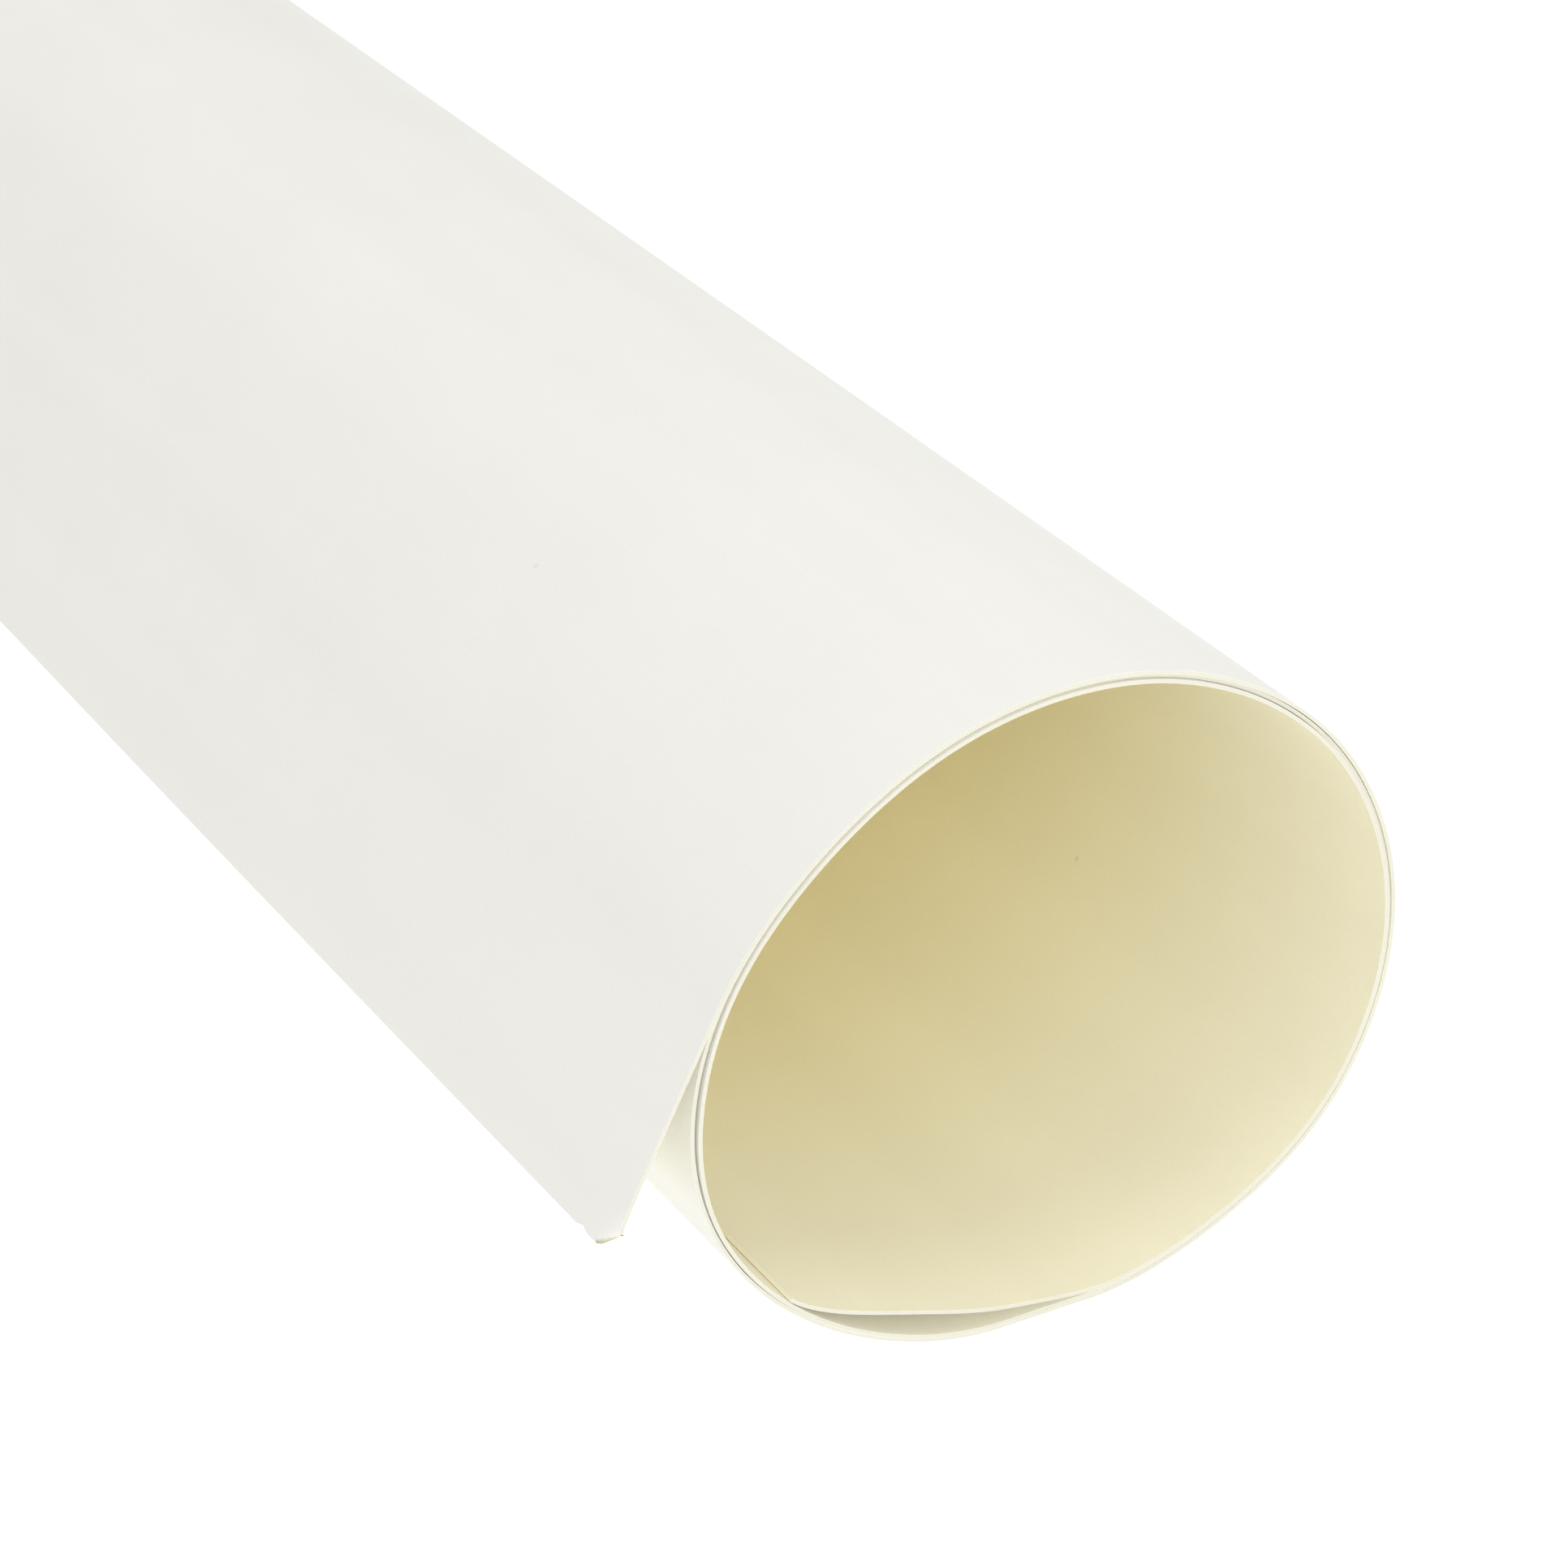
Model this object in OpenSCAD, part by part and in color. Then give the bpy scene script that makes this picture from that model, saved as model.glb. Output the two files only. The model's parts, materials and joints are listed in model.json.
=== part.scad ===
// Coreless roll of stiff backdrop paper with a loose outer flap.
// One sheet, wound 2.85 turns into an oval tube that lies on its side. It is built as lengthwise strips,
// edge to edge along the spiral, so that the outer turn, the flap and the inner free end can bend.
// The tube runs along Y and stands on z = 0. The origin is the middle of the bed strip's underside.

/* [Sheet] */
// Thickness of the stock
sheet_t = 0.4; // [0.3:0.05:0.5]
// Width of the sheet, which is the length of the roll
sheet_w = 1000; // [300:50:1400]

/* [Roll] */
// Half of the oval's long diameter, to the middle of the outermost layer
half_wide = 41.6; // [38:0.2:60]
// Half of the oval's short diameter, to the middle of the outermost layer
half_high = 36.4; // [34:0.2:52]
// Turn of the long diameter about the roll's axis, in degrees
tilt = 4; // [0:1:8]
// Direction of the free edge inside the roll, in degrees round from +X
inner_edge_at = 218; // [210:1:226]
// Direction where the flap leaves the roll, in degrees round from +X
flap_at = 164; // [158:1:170]

/* [Gaps between the layers] */
// Clear gap between two layers
gap_mean = 0.2; // [0.15:0.05:0.4]
// How much wider the gap is beside the flap
gape = 0.25; // [0:0.05:0.4]

/* [Free ends] */
// Length of the flap from where it leaves the roll to its free edge
flap_length = 25.5; // [12:0.5:32]
// Angle by which the flap stands off the roll's tangent
flap_lift = 2; // [1:0.5:10]
// Height by which the inner free end stands off the layer under it
inner_slack = 2.35; // [0:0.05:3]

/* [Strips] */
// Number of strips in the outer turn
outer_count = 16; // [12:1:20]
// Number of strips in the flap
flap_count = 2; // [1:1:3]
// Number of strips in the inner free end
inner_end_count = 3; // [2:1:4]
// Number of fixed strips in the inner turn
inner_count = 12; // [10:1:16]
// Number of fixed strips in the middle turn
middle_count = 16; // [10:1:20]

/* [Hidden] */
turn = 360;
// Places on the sheet are angles counted from its inner edge on, so each further turn adds 360.
phi_start = inner_edge_at;
phi_inner = 284;                        // the inner free end bends inside this line
phi_middle = phi_start + turn;          // the first turn is complete here
phi_bed = 2 * turn + 262;               // the bed strip runs from here
phi_outer = 2 * turn + 274;             // to here, where the outer turn begins
phi_end = 3 * turn + flap_at;           // the flap begins here
step = 3;                               // longest step of angle along a curved strip
nudge = 0.01;                           // step of angle for finding the sheet's heading
gape_at = 177;                          // the layers part where the flap pulls on them
gape_span = 16;
slack_early = 1.3;                      // above 1 the free end stands highest near its edge
// Places where the roll is flatter than an oval, or fuller if the depth is below 0: angle, depth, span.
FLATS = [
    [142, 1.75, 32],                    // the upper left, dented by handling
    [269, 0.75, 12],                    // the foot, under the roll's own weight
    [15, 0.6, 24],                      // the right side sags,
    [325, -0.6, 18],                    // and bulges below
    [75, -0.25, 20]                     // and above
];
flap_relief = 0.06;                     // bevel that lets the flap press inwards
paper = [0.94, 0.935, 0.91];

function bump(x, span) = exp(-pow(x / span, 2));
function oval(a) = half_wide * half_high
    / sqrt(pow(half_high * cos(a - tilt), 2) + pow(half_wide * sin(a - tilt), 2));
function wrap(phi) = phi - turn * floor(phi / turn);
function apart(a, b) = wrap(a - b + turn / 2) - turn / 2;
function gap(a) = gap_mean + gape * bump(apart(a, gape_at), gape_span);
function flatter(a) = [for (f = FLATS) f[1] * bump(apart(a, f[0]), f[2])] * [for (f = FLATS) 1];
// The free end touches the next layer at its edge and stands clear of it from there to phi_inner.
function slack(phi) = phi >= phi_inner ? 0
    : let (u = max(0, (phi - phi_start) / (phi_inner - phi_start)))
        inner_slack * pow(sin(180 * pow(u, 1 / slack_early)), 2);
function radius(phi) = let (a = wrap(phi))
    oval(a) - flatter(a) - (phi_end - phi) / turn * (sheet_t + gap(a)) - slack(phi);
function middle(phi) = radius(phi) * [cos(phi), sin(phi)];
function heading(phi) = let (d = middle(phi + nudge) - middle(phi - nudge)) atan2(d.y, d.x);
function square_to(angle) = [sin(angle), -cos(angle)];
// The point that stands a distance h off the sheet's middle, outwards if h is positive.
function off(phi, h) = middle(phi) + h * square_to(heading(phi));

flap_heading = heading(phi_end) - flap_lift;
flap_way = [cos(flap_heading), sin(flap_heading)];
function flap_point(s, h) = middle(phi_end) + s * flap_way + h * square_to(flap_heading);

bed_from = off(phi_bed, sheet_t / 2);
bed_to = off(phi_outer, sheet_t / 2);
bed_slope = atan2(bed_to.y - bed_from.y, bed_to.x - bed_from.x);

// Draws an outline of the roll's section out along the roll, with the bed strip level at the origin.
module along_roll(outline) {
    color(paper)
        translate([0, sheet_w / 2, 0])
            rotate([90, 0, 0])
                linear_extrude(sheet_w)
                    rotate(-bed_slope)
                        translate(-(bed_from + bed_to) / 2)
                            polygon(outline);
}

// A strip of the wound sheet between two of its places.
module wound_strip(from, to) {
    steps = ceil((to - from) / step);
    at = [for (i = [0 : steps]) from + (to - from) * i / steps];
    along_roll(concat(
        [for (i = [0 : steps]) off(at[i], sheet_t / 2)],
        [for (i = [steps : -1 : 0]) off(at[i], -sheet_t / 2)]
    ));
}

// The strip that the roll rests on, with a flat underside.
module bed_strip() {
    along_roll([bed_from, bed_to, off(phi_outer, -sheet_t / 2), off(phi_bed, -sheet_t / 2)]);
}

// A strip of the flap. Its inner corner is bevelled, so that it can turn inwards about the outer one.
module flap_strip(i) {
    from = flap_length * i / flap_count;
    to = flap_length * (i + 1) / flap_count;
    along_roll([
        i == 0 ? off(phi_end, sheet_t / 2) : flap_point(from, sheet_t / 2),
        flap_point(to, sheet_t / 2),
        flap_point(to, -sheet_t / 2),
        (i == 0 ? off(phi_end, -sheet_t / 2) : flap_point(from, -sheet_t / 2)) + flap_relief * flap_way
    ]);
}

// The stretches of the wound sheet: name, first place, last place and number of strips.
STRETCHES = [
    ["inner_end", phi_start, phi_inner, inner_end_count],
    ["inner_turn", phi_inner, phi_middle, inner_count],
    ["middle_turn", phi_middle, phi_bed, middle_count],
    ["outer_turn", phi_outer, phi_end, outer_count]
];
function label(name, i) = str(name, "_", i < 9 ? "0" : "", i + 1);
function cut(stretch, i) = stretch[1] + (stretch[2] - stretch[1]) * i / stretch[3];

for (s = STRETCHES)
    for (i = [0 : s[3] - 1])
        wound_strip(cut(s, i), cut(s, i + 1));
bed_strip();  // bed
for (i = [0 : flap_count - 1])
    flap_strip(i);
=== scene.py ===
# %% [markdown]
# # A coreless roll of backdrop paper
# A stiff off-white sheet, wound nearly three turns into an oval tube that lies on a table. Its outer end
# stands off as a loose flap, and its inner end lies slack across the floor of the tube.
# The imported frame gives the sheet as rigid lengthwise strips. This script lays one smooth sheet of paper
# along them, cut where no hinge is, so that every hinge falls inside a piece and the sheet never shows a
# joint at rest.

# %% Load the frame
import json
import math

import bpy
import numpy as np
from mathutils import Matrix, Vector


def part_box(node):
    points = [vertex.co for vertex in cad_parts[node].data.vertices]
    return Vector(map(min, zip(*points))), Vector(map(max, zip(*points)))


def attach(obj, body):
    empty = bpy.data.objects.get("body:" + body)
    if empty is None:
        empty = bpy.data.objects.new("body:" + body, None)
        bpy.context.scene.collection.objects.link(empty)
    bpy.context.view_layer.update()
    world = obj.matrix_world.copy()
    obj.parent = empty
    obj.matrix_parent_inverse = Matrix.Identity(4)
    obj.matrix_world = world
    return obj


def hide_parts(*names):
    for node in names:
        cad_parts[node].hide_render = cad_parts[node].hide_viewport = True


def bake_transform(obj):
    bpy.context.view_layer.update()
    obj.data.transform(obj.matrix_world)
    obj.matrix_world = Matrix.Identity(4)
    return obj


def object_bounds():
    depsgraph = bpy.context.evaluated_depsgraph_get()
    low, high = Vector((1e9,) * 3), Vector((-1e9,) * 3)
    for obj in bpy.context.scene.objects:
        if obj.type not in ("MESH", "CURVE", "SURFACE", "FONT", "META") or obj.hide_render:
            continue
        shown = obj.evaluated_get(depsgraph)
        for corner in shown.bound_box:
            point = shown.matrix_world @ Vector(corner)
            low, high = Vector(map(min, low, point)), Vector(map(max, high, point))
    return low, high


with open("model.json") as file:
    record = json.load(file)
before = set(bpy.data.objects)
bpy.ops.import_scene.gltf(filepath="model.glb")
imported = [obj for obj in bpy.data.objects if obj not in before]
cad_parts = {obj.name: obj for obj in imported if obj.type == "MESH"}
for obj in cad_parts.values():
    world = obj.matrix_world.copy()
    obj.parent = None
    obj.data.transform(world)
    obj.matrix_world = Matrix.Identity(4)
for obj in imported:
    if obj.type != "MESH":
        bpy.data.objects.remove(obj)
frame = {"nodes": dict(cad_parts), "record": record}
cad_low, cad_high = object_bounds()
print("the frame's box:", [round(x, 4) for x in cad_high - cad_low])

# %% [markdown]
# ## Where the sheet runs
# Every strip of the frame is an arc of the sheet, drawn out along Y. The corners of its near end come in
# pairs, one on the outer face and one on the inner face. Sorted by their direction from the roll's axis,
# they give the middle of the sheet and its thickness. The strips follow each other from the free edge
# inside to the free edge of the flap, so their middles make one long path.

# %% Trace the sheet through the strips
MM = 0.001
NEAR_BAND = 0.1 * MM  # corners this close to the near end belong to it
STRETCHES = ("inner_end", "inner_turn", "middle_turn", "bed", "outer_turn", "flap")
strips = [n for s in STRETCHES for n in sorted(frame["nodes"]) if n.startswith(s)]
boxes = [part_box(n) for n in strips if not n.startswith("flap")]
left, foot = (min(low[i] for low, _ in boxes) for i in (0, 2))
right_side, crown = (max(high[i] for _, high in boxes) for i in (0, 2))
axis_x, axis_z = (left + right_side) / 2, (foot + crown) / 2
half_wide = (right_side - left) / 2


def near_corners(name):
    """The corners of a strip's near end as rows of x and z, without repeats, in order round the roll."""
    found = {
        (round(v.co.x, 6), round(v.co.z, 6))
        for v in frame["nodes"][name].data.vertices
        if v.co.y < cad_low.y + NEAR_BAND
    }
    return sorted(found, key=lambda p: math.atan2(p[1] - axis_z, p[0] - axis_x) % math.tau)


def unfold(corners):
    """Starts the ring of corners after its widest gap, for a strip that crosses the +X direction."""
    turns = [math.atan2(z - axis_z, x - axis_x) % math.tau for x, z in corners]
    gaps = [(turns[(i + 1) % len(turns)] - t) % math.tau for i, t in enumerate(turns)]
    first = (gaps.index(max(gaps)) + 1) % len(corners)
    return corners[first:] + corners[:first]


def middle_of(name):
    """The middle points of a strip's section in order, and the sheet's thickness there."""
    ring = np.array(unfold(near_corners(name)))
    pairs = ring.reshape(-1, 2, 2)
    thickness = np.linalg.norm(pairs[:, 0] - pairs[:, 1], axis=1).min()
    return pairs.mean(axis=1), thickness


middles = {name: middle_of(name)[0] for name in strips}
sheet_t = float(np.median([middle_of(name)[1] for name in strips]))
knots = np.concatenate([middles[name][:-1] for name in strips] + [middles[strips[-1]][-1:]])
knot_at = np.concatenate([[0], np.cumsum(np.linalg.norm(np.diff(knots, axis=0), axis=1))])
starts = {}
count = 0
for name in strips:
    starts[name] = float(knot_at[count])
    count += len(middles[name]) - 1
sheet_length = float(knot_at[-1])
knot_turn = np.unwrap(np.arctan2(knots[:, 1] - axis_z, knots[:, 0] - axis_x)) / math.tau
turns_in = np.maximum(0, knot_turn[np.searchsorted(knot_at, starts["flap_01"])] - knot_turn)
print(f"{len(strips)} strips, {len(knots)} knots, {turns_in[0]:.2f} turns inside the flap")
print(f"the sheet is {sheet_length:.3f} m long and {sheet_t / MM:.2f} mm thick")

# %% [markdown]
# ## Any place on the sheet
# Soft layers lie closer than rigid strips can, so each turn is let out a little towards the one round it.
# A smooth curve through the strips' middles gives any place on the sheet and the way out from there.

# %% Find a place on the sheet
SNUG = 0.12 * MM  # the soft layers lie this much closer, turn by turn, than the rigid strips can
SETTLE = 0.03 * MM  # and the free edge inside lies closer still, over its first SETTLE_REACH
SETTLE_REACH = 3 * MM


def place(at):
    """Point of the sheet's middle and its outward normal, a distance along the sheet, by a Hermite curve."""
    i = np.clip(np.searchsorted(knot_at, at, side="right") - 1, 0, len(knots) - 2)
    slope = np.gradient(knots, knot_at, axis=0)
    h = (knot_at[i + 1] - knot_at[i])[:, None]
    u = ((at - knot_at[i])[:, None]) / h
    p, q, m, n = knots[i], knots[i + 1], slope[i] * h, slope[i + 1] * h
    point = (2 * u**3 - 3 * u**2 + 1) * p + (u**3 - 2 * u**2 + u) * m
    point = point + (-2 * u**3 + 3 * u**2) * q + (u**3 - u**2) * n
    way = (6 * u**2 - 6 * u) * (p - q) + (3 * u**2 - 4 * u + 1) * m + (3 * u**2 - 2 * u) * n
    way = way / np.linalg.norm(way, axis=1)[:, None]
    outwards = np.stack([way[:, 1], -way[:, 0]], axis=1)
    snug = SNUG * np.interp(at, knot_at, turns_in) + SETTLE * np.clip(1 - at / SETTLE_REACH, 0, 1) ** 2
    return point + snug[:, None] * outwards, outwards


edge_place, _ = place(np.array([0.0, sheet_length]))
print("the free edges, x and z in mm:", np.round(edge_place / MM, 1).tolist())

# %% [markdown]
# ## The camera
# The camera looks down on the open near end from the left, along a long lens. Its place is worked out
# from the roll: the near end's middle lies a little right of the view's centre and below it.

# %% Set the camera
SENSOR = 36.0
LENS = 113.3
CLIP_NEAR, CLIP_FAR = 0.01, 20
CAMERA_AZIMUTH = -28.7
CAMERA_ELEVATION = 28.27
CAMERA_ROLL = -0.83
# The near end's middle as seen by the camera, in half widths of the roll.
NEAR_END_RIGHT = 0.6626
NEAR_END_DOWN = 0.5509
NEAR_END_AHEAD = 11.969

near_end = Vector((axis_x, cad_low.y, axis_z))
azimuth, elevation = math.radians(CAMERA_AZIMUTH), math.radians(CAMERA_ELEVATION)
ahead = Vector((-math.sin(azimuth) * math.cos(elevation), math.cos(azimuth) * math.cos(elevation),
                -math.sin(elevation)))
turned = ahead.to_track_quat("-Z", "Y").to_matrix() @ Matrix.Rotation(math.radians(CAMERA_ROLL), 3, "Z")
right, up = turned.col[0], turned.col[1]
offset = NEAR_END_AHEAD * ahead + NEAR_END_RIGHT * right - NEAR_END_DOWN * up
camera_data = bpy.data.cameras.new("camera")
camera_data.sensor_width = SENSOR
camera_data.lens = LENS
camera_data.clip_start = CLIP_NEAR
camera_data.clip_end = CLIP_FAR
camera = bpy.data.objects.new("camera", camera_data)
camera.matrix_world = Matrix.Translation(near_end - offset * half_wide) @ turned.to_4x4()
bpy.context.scene.collection.objects.link(camera)
bpy.context.scene.camera = camera
print("half width", round(half_wide, 5), "camera at", [round(x, 3) for x in camera.matrix_world.translation])


# %% [markdown]
# ## Helpers for node trees
# A node tree is a row of small steps. These helpers keep each step to one line: they find a socket by its
# name, add a node with its inputs, and do arithmetic, ramps, colour mixes and moves.

# %% Small helpers for node trees
def port(sockets, name):
    """The live socket of that name, since some nodes keep one for each kind of value."""
    return next(s for s in sockets if s.name == name and s.enabled)


def add(tree, kind, inputs=(), **settings):
    """A new node with its settings, and its inputs given by name as values or as other sockets."""
    made = tree.nodes.new(kind)
    for key, value in settings.items():
        setattr(made, key, value)
    for name, value in dict(inputs).items():
        socket = made.inputs[name] if isinstance(name, int) else port(made.inputs, name)
        if isinstance(value, bpy.types.NodeSocket):
            tree.links.new(value, socket)
        else:
            socket.default_value = value
    return made


def calc(tree, operation, *values):
    """One step of arithmetic on sockets or numbers."""
    return add(tree, "ShaderNodeMath", dict(enumerate(values)), operation=operation).outputs[0]


def product(tree, *values):
    """All the values multiplied together."""
    made = values[0]
    for value in values[1:]:
        made = calc(tree, "MULTIPLY", made, value)
    return made


def ramp(tree, value, start, end, low=0.0, high=1.0, **settings):
    """Runs from low to high while the value runs from start to end, and stays level beyond them."""
    limits = {"From Min": start, "From Max": end, "To Min": low, "To Max": high}
    return add(tree, "ShaderNodeMapRange", {"Value": value, **limits}, **settings).outputs[0]


def mix(tree, share, first, second, **settings):
    """The first colour with a share of the second."""
    colours = {0: share, 6: first, 7: second}
    return add(tree, "ShaderNodeMix", colours, data_type="RGBA", **settings).outputs[2]


def noise(tree, spot, scale, detail, roughness=0.5):
    """Soft random values from 0 to 1 over a place."""
    return add(tree, "ShaderNodeTexNoise", {
        "Vector": spot, "Scale": scale, "Detail": detail, "Roughness": roughness}).outputs[0]


def stretched(tree, spot, factors):
    """The place with each of its coordinates multiplied by its own factor."""
    return add(tree, "ShaderNodeVectorMath", {0: spot, 1: factors}, operation="MULTIPLY").outputs[0]


def moved(tree, spot, way, distance):
    """The place moved a distance along a direction."""
    step = add(tree, "ShaderNodeVectorMath", {0: way, "Scale": distance}, operation="SCALE").outputs[0]
    return add(tree, "ShaderNodeVectorMath", {0: spot, 1: step}, operation="ADD").outputs[0]


HELPERS = (port, add, calc, product, ramp, mix, noise, stretched, moved)
print("helpers:", ", ".join(helper.__name__ for helper in HELPERS))

# %% [markdown]
# ## The colours of the faces and the cut edge
# One material serves the whole sheet. It reads the sheet's own coordinates, which the mesh carries as the
# attribute "sheet": metres along the sheet, the place along the roll, and which face it is, 1 outside and -1
# inside. The cut edge lies between the two and shows the duller body of the stock, but the cut face of the
# free edge inside is painted in the inner face's colour, a painted light, so it looks lit like the inner
# face. The
# lining is painted warmer further in: a painted tint that stands in for light bouncing about in the tube and
# taking on the colour of its wall.

# %% Colour the faces and the cut edge
OUTER_FACE = (0.805, 0.798, 0.750, 1)
INNER_FACE = (0.925, 0.89, 0.71, 1)
# painted light: the lining's warmer tint deep inside, standing in for light bounced about in the tube
PAINTED_BOUNCE_TINT = (0.995, 0.90, 0.54, 1)
CUT_EDGE = (0.53, 0.52, 0.445, 1)
BOUNCE_TINT_FROM, BOUNCE_TINT_TO = 0.01, 0.12  # distances from the near end between which the painted bounce tint grows in the lining
FACE_FROM = 0.9  # the cut edge's colour ends where the face's own number is this near to 1 or -1
PAINTED_LIT_FREE_EDGE_TO = 0.005 * MM  # distance along the sheet that holds only the cut face of the free edge inside, painted in the inner face's colour as painted light


def face_colour(tree, along, from_near, face):
    """The colour of the stock before its grain, with the painted bounce tint in the lining and the painted
    light on the free edge's cut face.
    """
    lining = calc(tree, "LESS_THAN", along, starts["middle_turn_01"])
    # share of the painted bounce tint, growing with the distance from the near end
    bounce_share = ramp(tree, from_near, BOUNCE_TINT_FROM, BOUNCE_TINT_TO, interpolation_type="SMOOTHSTEP")
    inside = mix(tree, calc(tree, "MULTIPLY", bounce_share, lining), INNER_FACE, PAINTED_BOUNCE_TINT)
    faces = mix(tree, ramp(tree, face, 1.0, -1.0), OUTER_FACE, inside)
    # painted light: the free edge's cut face takes the inner face's colour, so it looks lit like the inner
    # face
    cut = mix(tree, calc(tree, "LESS_THAN", along, PAINTED_LIT_FREE_EDGE_TO), CUT_EDGE, INNER_FACE)
    return mix(tree, ramp(tree, calc(tree, "ABSOLUTE", face), FACE_FROM, 1.0), cut, faces)


print("the lining is the first", round(starts["middle_turn_01"], 3), "m of the sheet")

# %% [markdown]
# ## The grain of the stock
# Uncoated stock is matte and nearly even, so its life is in small things: a cloudy unevenness from how the
# pulp settled, faint bands along the roll, a fine tooth that light catches, and a stray fleck.

# %% Give the stock its grain
CLOUDS = {"scale": 45.0, "detail": 3.0, "roughness": 0.55}
BANDS = {"scale": 1.0, "detail": 2.0}
BAND_STRETCH = (60.0, 3.0, 0.0)
TOOTH = {"scale": 2200.0, "detail": 2.0, "roughness": 0.6}
CLOUD_DEPTH, BAND_DEPTH, TOOTH_DEPTH = 0.035, 0.09, 0.05  # each one's share of the brightness
FLECK = (0.60, 0.58, 0.53, 1)
FLECKS_A_METRE, FLECK_RADIUS, FLECK_SHARE = 9.0, 0.0028, 0.35  # the radius is a share of a fleck's cell


def grained(tree, flat, colour):
    """The colour with its grain, and the clouds and the tooth themselves."""
    clouds = noise(tree, flat, **CLOUDS)
    bands = noise(tree, stretched(tree, flat, BAND_STRETCH), **BANDS)
    tooth = noise(tree, flat, **TOOTH)
    depths = ((clouds, CLOUD_DEPTH), (bands, BAND_DEPTH), (tooth, TOOTH_DEPTH))
    shades = [calc(tree, "MULTIPLY_ADD", pattern, depth, 1 - depth / 2) for pattern, depth in depths]
    shade = product(tree, *shades)
    grey = add(tree, "ShaderNodeCombineColor", {"Red": shade, "Green": shade, "Blue": shade}).outputs[0]
    toned = mix(tree, 1.0, colour, grey, blend_type="MULTIPLY")
    cells = add(tree, "ShaderNodeTexVoronoi", {"Vector": flat, "Scale": FLECKS_A_METRE, "Randomness": 1.0},
                voronoi_dimensions="2D")
    in_fleck = calc(tree, "LESS_THAN", cells.outputs["Distance"], FLECK_RADIUS)
    return mix(tree, calc(tree, "MULTIPLY", in_fleck, FLECK_SHARE), toned, FLECK), clouds, tooth


print("brightness varies by", f"{CLOUD_DEPTH + BAND_DEPTH + TOOTH_DEPTH:.3f}", "at most")

# %% [markdown]
# ## Painted shade at the crushed corner
# The flap's near corner has been knocked and crushed off. A narrow, ragged line of painted shade follows its
# crushed edge and stands in for the shadow of the small crease there. It is strongest at the end away from
# the roll's near end.

# %% Paint the shade at the corner
# painted shade: the colour of the crease's shadow at the crushed corner, not dirt on the stock
PAINTED_CREASE_SHADE = (0.36, 0.33, 0.20, 1)
CREASE_SHADE_EDGE = (0.3 * MM, 0.75 * MM)  # the painted shade fades out between these distances from the flap's edge
CREASE_SHADE_CORNER = (2.5 * MM, 2.9 * MM)  # and between these distances from the near end
CREASE_SHADE_RAGGED = 0.5 * MM
CREASE_SHADE_LEAST = 0.35


def crease_shaded(tree, colour, from_edge, from_near, tooth):
    """The colour with painted shade along the crushed corner, standing in for the crease's shadow."""
    ragged = calc(tree, "MULTIPLY_ADD", tooth, CREASE_SHADE_RAGGED, from_edge)
    by_edge = ramp(tree, ragged, *CREASE_SHADE_EDGE, 1.0, 0.0)
    by_corner = ramp(tree, from_near, *CREASE_SHADE_CORNER, 1.0, 0.0)
    outer_end = ramp(tree, from_near, 0.0, CREASE_SHADE_CORNER[0], CREASE_SHADE_LEAST, 1.0)
    return mix(tree, product(tree, by_edge, by_corner, outer_end), colour, PAINTED_CREASE_SHADE)


# the printed distance is how far the painted shade at the corner reaches
print("the dirt reaches", round(CREASE_SHADE_CORNER[1] / MM, 1), "mm from the near end")

# %% [markdown]
# ## The stock
# The colours, the grain and the painted shade at the corner come together in one material. The tooth is a
# faint bump, the clouds vary the roughness a little, and a low specular level keeps the stock matte.

# %% Make the stock
TOOTH_BUMP, TOOTH_HEIGHT = 0.12, 0.04 * MM
ROUGHNESS = (0.58, 0.7)
SPECULAR = 0.3


def make_stock():
    """The material of the whole sheet."""
    material = bpy.data.materials.new("backdrop_stock")
    material.use_nodes = True
    tree = material.node_tree
    tree.nodes.clear()
    sheet = add(tree, "ShaderNodeAttribute", attribute_name="sheet")
    parts = add(tree, "ShaderNodeSeparateXYZ", {"Vector": sheet.outputs["Vector"]}).outputs
    flat = add(tree, "ShaderNodeCombineXYZ", {"X": parts["X"], "Y": parts["Y"]}).outputs[0]
    from_near = calc(tree, "SUBTRACT", parts["Y"], cad_low.y)
    from_edge = calc(tree, "SUBTRACT", sheet_length, parts["X"])
    plain = face_colour(tree, parts["X"], from_near, parts["Z"])
    colour, clouds, tooth = grained(tree, flat, plain)
    # painted shade along the flap's crushed corner
    colour = crease_shaded(tree, colour, from_edge, from_near, tooth)
    bump = add(tree, "ShaderNodeBump", {"Height": tooth, "Strength": TOOTH_BUMP, "Distance": TOOTH_HEIGHT})
    rough = ramp(tree, clouds, 0.0, 1.0, *ROUGHNESS)
    shader = add(tree, "ShaderNodeBsdfPrincipled", {
        "Base Color": colour, "Roughness": rough, "Normal": bump.outputs[0]})
    shader.inputs["Specular IOR Level"].default_value = SPECULAR
    add(tree, "ShaderNodeOutputMaterial", {"Surface": shader.outputs[0]})
    return material


stock = make_stock()
print("material:", stock.name, len(stock.node_tree.nodes), "nodes")

# %% [markdown]
# ## Wear and creep
# The sheet isn't perfect. Its middle turns have crept along the roll, so their cut edges stand back from the
# near end. The flap's free edge is bowed a little in and out along the roll and has a small nick, and its
# near corner is crushed off and pressed towards the roll.

# %% Let the turns creep and wear the free edge
CREEP_TURNS = 2.3  # the edges lie level at the flap and again this many turns further in
CORNER = 2.4 * MM  # how much of each edge the crushed corner takes
PRESSED, PRESSED_REACH = 0.6 * MM, 4 * MM
PRESSED_POWER = 10.0  # keeps the press to the last of the flap
BOW, BOW_LENGTH = 0.5 * MM, 0.52
NICK, NICK_AT, NICK_WIDE = 0.35 * MM, 5.6 * MM, 0.6 * MM


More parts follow.
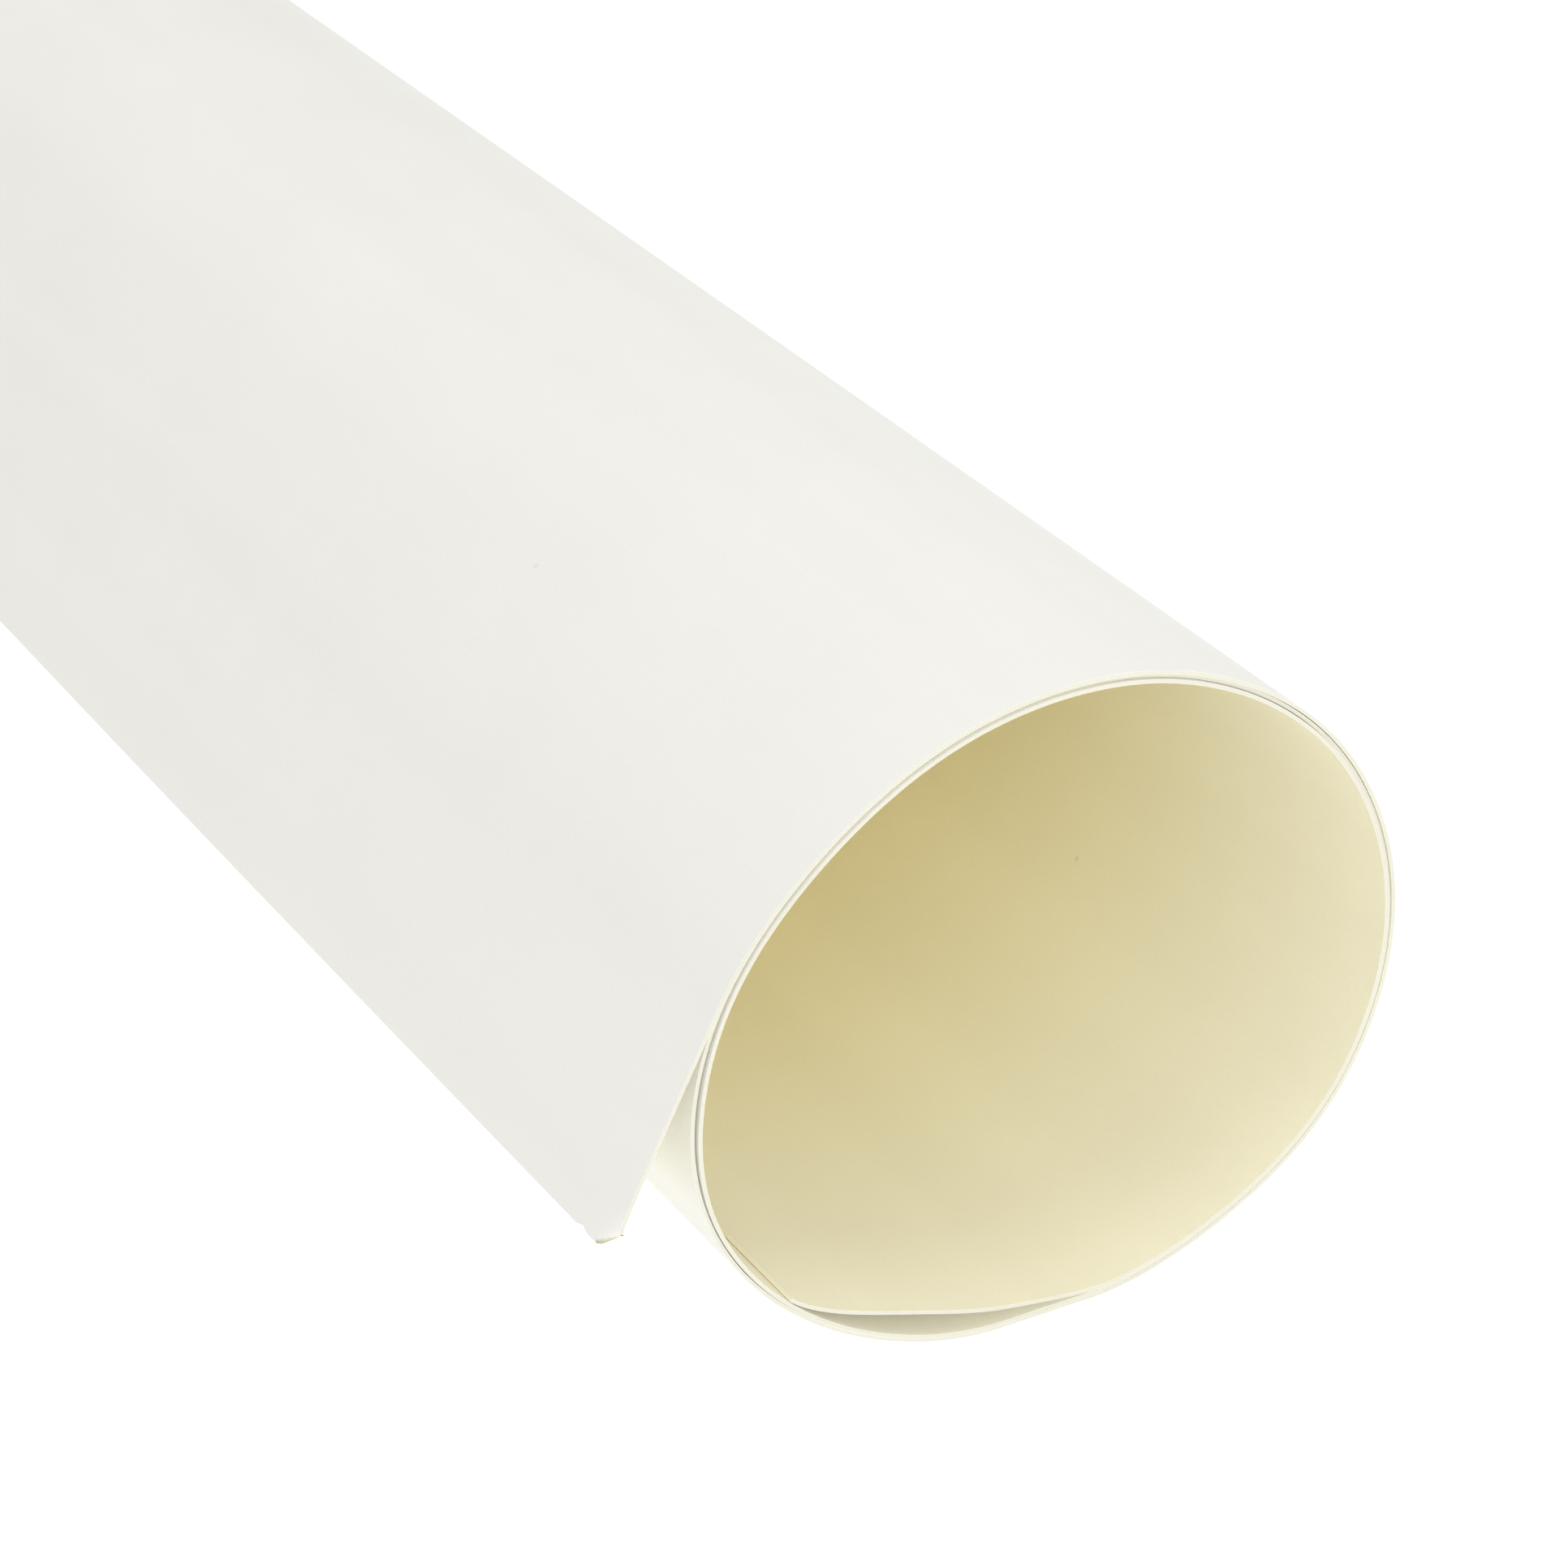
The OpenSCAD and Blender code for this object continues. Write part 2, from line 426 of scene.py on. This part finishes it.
def creep(tree, turns, across, most):
    """How far a place has crept along the roll: most of all in the middle turns and at the near end."""
    swing = calc(tree, "SINE", calc(tree, "MULTIPLY", turns, math.pi / CREEP_TURNS))
    return product(tree, calc(tree, "POWER", swing, 2.0), calc(tree, "SUBTRACT", 1.0, across), most)


def edge_wear(tree, edgeward, from_near, wear):
    """How far wear has moved a place of the flap: back from the free edge, and outwards if above 0."""
    off_corner = calc(tree, "MAXIMUM", calc(tree, "SUBTRACT", CORNER, from_near), 0.0)
    wave = calc(tree, "SINE", calc(tree, "MULTIPLY", from_near, math.tau / BOW_LENGTH))
    nick_side = calc(tree, "DIVIDE", calc(tree, "SUBTRACT", from_near, NICK_AT), NICK_WIDE)
    dip = calc(tree, "EXPONENT", calc(tree, "MULTIPLY", calc(tree, "POWER", nick_side, 2.0), -1.0))
    trim = calc(tree, "ADD", off_corner, calc(tree, "MULTIPLY", wave, -BOW))
    trim = calc(tree, "ADD", trim, calc(tree, "MULTIPLY", dip, NICK))
    back = product(tree, trim, calc(tree, "POWER", edgeward, 2.0), wear)
    near_corner = calc(tree, "SUBTRACT", 1.0, calc(tree, "DIVIDE", from_near, PRESSED_REACH))
    by_corner = calc(tree, "POWER", calc(tree, "MAXIMUM", near_corner, 0.0), 2.0)
    pressed = product(tree, by_corner, calc(tree, "POWER", edgeward, PRESSED_POWER), wear, -PRESSED)
    return back, pressed


print("the crushed corner takes", round(CORNER / MM, 1), "mm of each edge")

# %% [markdown]
# ## The sheet as a Geometry Nodes tree
# The sheet is a rule: take a path, repeat it across the sheet's width, and give it thickness. The tree
# bends a flat grid onto the path's points, which carry their own outward direction, then extrudes it
# inwards. The path's points are shared by the neighbouring pieces, so their edges meet exactly. A slow
# noise moves both faces together, because stock that was rolled by hand is never quite even.

# %% Build the tree
SWELL_STRETCH = (28.0, 3.0, 28.0)
MERGE_WITHIN = 0.001 * MM
CRISP_ANGLE = 0.6  # in radians: edges sharper than this stay crisp


def sheet_tree():
    """The node group that makes a piece of the sheet from its path."""
    tree = bpy.data.node_groups.new("sheet_along_path", "GeometryNodeTree")
    interface = tree.interface
    interface.new_socket(name="Path", in_out="INPUT", socket_type="NodeSocketGeometry")
    for name, kind in (("Columns", "Int"), ("Rows", "Int"), ("Grading", "Float"), ("Thickness", "Float"),
                       ("Near End", "Float"), ("Width", "Float"), ("Unevenness", "Float"),
                       ("Creep", "Float"), ("Wear", "Float"), ("Stock", "Material")):
        interface.new_socket(name=name, in_out="INPUT", socket_type="NodeSocket" + kind)
    interface.new_socket(name="Sheet", in_out="OUTPUT", socket_type="NodeSocketGeometry")
    given = tree.nodes.new("NodeGroupInput").outputs
    path = given["Path"]

    grid = add(tree, "GeometryNodeMeshGrid", {
        "Size X": 1.0, "Size Y": 1.0, "Vertices X": given["Columns"], "Vertices Y": given["Rows"]})
    spot = add(tree, "ShaderNodeSeparateXYZ", {
        "Vector": add(tree, "GeometryNodeInputPosition").outputs[0]})
    last = calc(tree, "SUBTRACT", given["Columns"], 1.0)
    column = calc(tree, "ROUND", calc(tree, "MULTIPLY", calc(tree, "ADD", spot.outputs["X"], 0.5), last))
    across = calc(tree, "POWER", calc(tree, "ADD", spot.outputs["Y"], 0.5), given["Grading"])

    def from_path(value, data_type):
        return port(add(tree, "GeometryNodeSampleIndex", {
            "Geometry": path, "Value": value, "Index": column}, data_type=data_type).outputs, "Value")

    def carried(name, data_type):
        return port(add(tree, "GeometryNodeInputNamedAttribute", {"Name": name},
                        data_type=data_type).outputs, "Attribute")

    point = from_path(add(tree, "GeometryNodeInputPosition").outputs[0], "FLOAT_VECTOR")
    outwards = from_path(carried("outwards", "FLOAT_VECTOR"), "FLOAT_VECTOR")
    along = from_path(carried("along", "FLOAT"), "FLOAT")
    turns = from_path(carried("turns_in", "FLOAT"), "FLOAT")

    from_near = calc(tree, "MULTIPLY", across, given["Width"])
    crept = creep(tree, turns, across, given["Creep"])
    y = calc(tree, "ADD", calc(tree, "ADD", from_near, given["Near End"]), crept)
    over = add(tree, "ShaderNodeCombineXYZ", {"Y": y}).outputs[0]
    middle = add(tree, "ShaderNodeVectorMath", {0: point, 1: over}, operation="ADD").outputs[0]

    edgeward = calc(tree, "ADD", spot.outputs["X"], 0.5)
    back, pressed = edge_wear(tree, edgeward, from_near, given["Wear"])
    facing = add(tree, "ShaderNodeSeparateXYZ", {"Vector": outwards})
    way_back = add(tree, "ShaderNodeCombineXYZ", {
        "X": facing.outputs["Z"], "Z": calc(tree, "MULTIPLY", facing.outputs["X"], -1.0)}).outputs[0]
    middle = moved(tree, middle, way_back, back)
    middle = moved(tree, middle, outwards, pressed)
    uneven = noise(tree, stretched(tree, middle, SWELL_STRETCH), 1.0, 1.0)
    swell = calc(tree, "MULTIPLY", calc(tree, "SUBTRACT", uneven, 0.5), given["Unevenness"])
    stand_off = calc(tree, "MULTIPLY_ADD", given["Thickness"], 0.5, swell)
    outer_place = moved(tree, middle, outwards, stand_off)

    def store(geometry, name, value, data_type, selection=True):
        return add(tree, "GeometryNodeStoreNamedAttribute", {
            "Geometry": geometry, "Selection": selection, "Name": name, "Value": value},
            data_type=data_type, domain="POINT").outputs[0]

    labels = add(tree, "ShaderNodeCombineXYZ", {"X": along, "Y": y, "Z": 1.0}).outputs[0]
    mesh = store(grid.outputs["Mesh"], "sheet", labels, "FLOAT_VECTOR")
    mesh = store(mesh, "way_out", outwards, "FLOAT_VECTOR")
    mesh = store(mesh, "bent_to", outer_place, "FLOAT_VECTOR")
    skin = add(tree, "GeometryNodeSetPosition", {
        "Geometry": mesh, "Position": carried("bent_to", "FLOAT_VECTOR")}).outputs[0]

    drawn = add(tree, "GeometryNodeExtrudeMesh", {"Mesh": skin, "Offset Scale": 0.0, "Individual": False},
                mode="FACES")
    inwards = calc(tree, "MULTIPLY", given["Thickness"], -1.0)
    drop = add(tree, "ShaderNodeVectorMath", {0: carried("way_out", "FLOAT_VECTOR"), "Scale": inwards},
               operation="SCALE").outputs[0]
    inner = add(tree, "GeometryNodeSetPosition", {
        "Geometry": drawn.outputs["Mesh"], "Selection": drawn.outputs["Top"], "Offset": drop}).outputs[0]
    here = add(tree, "ShaderNodeSeparateXYZ", {"Vector": carried("sheet", "FLOAT_VECTOR")})
    inner_labels = add(tree, "ShaderNodeCombineXYZ", {
        "X": here.outputs["X"], "Y": here.outputs["Y"], "Z": -1.0}).outputs[0]
    inner = store(inner, "sheet", inner_labels, "FLOAT_VECTOR", drawn.outputs["Top"])
    facing_out = add(tree, "GeometryNodeFlipFaces", {"Mesh": skin}).outputs[0]
    both = add(tree, "GeometryNodeJoinGeometry")
    tree.links.new(inner, both.inputs[0])
    tree.links.new(facing_out, both.inputs[0])
    closed = add(tree, "GeometryNodeMergeByDistance", {
        "Geometry": both.outputs[0], "Distance": MERGE_WITHIN}).outputs[0]
    smooth = add(tree, "GeometryNodeSetShadeSmooth", {"Geometry": closed, "Shade Smooth": True}).outputs[0]
    angle = add(tree, "GeometryNodeInputMeshEdgeAngle").outputs["Unsigned Angle"]
    crisp = add(tree, "GeometryNodeSetShadeSmooth", {
        "Geometry": smooth, "Selection": calc(tree, "GREATER_THAN", angle, CRISP_ANGLE),
        "Shade Smooth": False},
        domain="EDGE").outputs[0]
    real = add(tree, "GeometryNodeRealizeInstances", {"Geometry": crisp}).outputs[0]
    dressed = add(tree, "GeometryNodeSetMaterial", {"Geometry": real, "Material": given["Stock"]}).outputs[0]
    leave = tree.nodes.new("NodeGroupOutput")
    tree.links.new(dressed, leave.inputs["Sheet"])
    return tree


tree = sheet_tree()
print("tree:", tree.name, len(tree.nodes), "nodes")

# %% [markdown]
# ## Laying one piece of the sheet
# A piece is a stretch of the path, from one distance along the sheet to another. Its columns stand close
# together at both ends, so that the light runs on over the seam to the next piece. The modifier's result
# becomes a plain mesh.

# %% Lay a piece
COLUMN_STEP = 0.6 * MM
END_STEPS = np.array([0, 0.05, 0.12, 0.25]) * MM
END_REACH = 0.5 * MM  # the even columns start this far from each end
UNEVENNESS = 0.2 * MM
CREEP = 0.45 * MM


def columns(first, last):
    """Distances along the sheet for a piece's columns, finer at its two ends."""
    even_first, even_last = first + END_REACH, last - END_REACH
    count = max(2, math.ceil((even_last - even_first) / COLUMN_STEP) + 1)
    even = np.linspace(even_first, even_last, count)
    return np.concatenate([first + END_STEPS, even, last - END_STEPS[::-1]])


def lay(name, first, last, rows=64, grading=1.6, wear=0.0):
    """A piece of the sheet as a plain mesh. A higher grading puts more of its rows at the near end."""
    at = columns(first, last)
    points, normals = place(at)
    path = bpy.data.meshes.new(name + "_path")
    path.from_pydata([(x, 0, z) for x, z in points], [], [])
    ways = np.stack([normals[:, 0], 0 * at, normals[:, 1]], axis=1).astype(np.float32)
    path.attributes.new("outwards", "FLOAT_VECTOR", "POINT").data.foreach_set("vector", ways.ravel())
    path.attributes.new("along", "FLOAT", "POINT").data.foreach_set("value", at.astype(np.float32))
    inside = np.interp(at, knot_at, turns_in).astype(np.float32)
    path.attributes.new("turns_in", "FLOAT", "POINT").data.foreach_set("value", inside)
    maker = bpy.data.objects.new(name + "_maker", path)
    bpy.context.scene.collection.objects.link(maker)
    modifier = maker.modifiers.new("sheet", "NODES")
    modifier.node_group = tree
    values = {"Columns": len(at), "Rows": rows, "Grading": grading, "Thickness": sheet_t,
              "Near End": cad_low.y, "Width": cad_high.y - cad_low.y, "Unevenness": UNEVENNESS,
              "Creep": CREEP, "Wear": wear, "Stock": stock}
    for item in tree.interface.items_tree:
        if item.name in values:
            modifier[item.identifier] = values[item.name]
    depsgraph = bpy.context.evaluated_depsgraph_get()
    mesh = bpy.data.meshes.new_from_object(maker.evaluated_get(depsgraph))
    mesh.name = name
    bpy.data.objects.remove(maker)
    for spare in ("way_out", "bent_to"):
        mesh.attributes.remove(mesh.attributes[spare])
    piece = bpy.data.objects.new(name, mesh)
    bpy.context.scene.collection.objects.link(piece)
    return piece


def volume(mesh):
    """Signed volume of a closed mesh, positive when its faces point outwards."""
    mesh.calc_loop_triangles()
    co = np.array([v.co for v in mesh.vertices])
    t = np.array([t.vertices for t in mesh.loop_triangles])
    return float(np.einsum("ij,ij->i", co[t[:, 0]], np.cross(co[t[:, 1]], co[t[:, 2]])).sum() / 6)


print("columns in 10 mm of sheet:", len(columns(0.0, 10 * MM)))

# %% [markdown]
# ## Cutting the sheet into pieces
# Each piece spans one hinge, from the middle of the strip before it to the middle of the strip
# after it. The seams fall where the strips stay rigid, so they never open. The turns that stay wound are
# one piece.

# %% Cut the pieces
WOUND_ROWS = 48
FLAP_GRID = {"rows": 200, "grading": 2.6, "wear": 1.0}  # the worn free edge needs more rows than the rest
behaviour = frame["record"]["behaviour"]
ends = {name: starts[strips[i + 1]] if i + 1 < len(strips) else sheet_length for i, name in enumerate(strips)}
half_way = {name: (starts[name] + ends[name]) / 2 for name in strips}


pieces = {}
wound = lay("wound_turns", half_way["inner_turn_01"], half_way["bed"], rows=WOUND_ROWS)
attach(wound, "wound_turns")
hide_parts(*behaviour["bodies"]["wound_turns"])
pieces["wound_turns"] = wound
print("wound turns:", len(wound.data.polygons), "faces, volume", round(volume(wound.data) * 1e6, 1), "cm3")

hinges = []
moving = [n for n in strips if n.startswith(("outer_turn", "flap"))]
before = ["bed"] + moving[:-1]
for previous, node in zip(before, moving):
    last = sheet_length if node == moving[-1] else half_way[node]
    grid = FLAP_GRID if node == moving[-1] else {}
    hinges.append((node + "_sheet", half_way[previous], last, previous, node, grid))
inner = ["inner_turn_01"] + [n for n in reversed(strips) if n.startswith("inner_end")]
for previous, node in zip(inner, inner[1:]):
    first = 0.0 if node == inner[-1] else half_way[node]
    hinges.append((node + "_sheet", first, half_way[previous], previous, node, {}))
for name, first, last, previous, node, grid in hinges:
    pieces[name] = lay(name, first, last, **grid)
print(len(pieces), "pieces")

# %% [markdown]
# ## The pieces at the hinges
# Real stock has no hinge line: it curves over a stretch. Each piece spans one hinge, from the body before it
# to the body after it. Here each piece's transform is baked into its mesh, and the strip of the frame that it
# stands in for is hidden. The flap lies close over the turn below.


for name, first, last, previous, node, grid in hinges:
    piece = pieces[name]
    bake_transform(piece)
    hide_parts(node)
print(len(hinges), "pieces bend")

# %% [markdown]
# ## One sheet
# All the pieces are one sheet of paper. The pieces at the hinges are narrow strips, each only a few
# millimetres long.

# %% [markdown]
# ## The table and the light
# The roll lies on a bright white table under broad, even light, so it throws hardly a shadow.

# %% Lay the table and light the roll
WORLD_LIGHT = 0.64
TABLE_REACH = 6.0
TABLE_GREY, TABLE_ROUGHNESS, TABLE_GLOW = 0.5, 0.9, 0.74
BOX_SIZE = 0.9
SOFT_BOXES = (("front_box", (-0.2, -2.15, 0.52), 23.0), ("top_box", (0.3, -0.45, 1.6), 8.0))

scene = bpy.context.scene
scene.view_settings.view_transform = "Standard"
world = bpy.data.worlds.new("studio")
world.use_nodes = True
world.node_tree.nodes["Background"].inputs["Color"].default_value = (1, 1, 1, 1)
world.node_tree.nodes["Background"].inputs["Strength"].default_value = WORLD_LIGHT
scene.world = world

table_mesh = bpy.data.meshes.new("table")
corners = [(x * TABLE_REACH, y * TABLE_REACH, 0) for x, y in ((-1, -1), (1, -1), (1, 1), (-1, 1))]
table_mesh.from_pydata(corners, [], [(0, 1, 2, 3)])
table = bpy.data.objects.new("table", table_mesh)
scene.collection.objects.link(table)
white = bpy.data.materials.new("white_table")
white.use_nodes = True
table_shader = white.node_tree.nodes["Principled BSDF"]
table_shader.inputs["Base Color"].default_value = (TABLE_GREY, TABLE_GREY, TABLE_GREY, 1)
table_shader.inputs["Roughness"].default_value = TABLE_ROUGHNESS
table_shader.inputs["Emission Color"].default_value = (1, 1, 1, 1)
table_shader.inputs["Emission Strength"].default_value = TABLE_GLOW
table_mesh.materials.append(white)

for name, spot, power in SOFT_BOXES:
    box_light = bpy.data.lights.new(name, "AREA")
    box_light.size = BOX_SIZE
    box_light.energy = power
    lamp = bpy.data.objects.new(name, box_light)
    towards = near_end - Vector(spot)
    lamp.matrix_world = Matrix.Translation(spot) @ towards.to_track_quat("-Z", "Y").to_matrix().to_4x4()
    scene.collection.objects.link(lamp)
    print(name, "stands", round(towards.length, 2), "m from the near end")
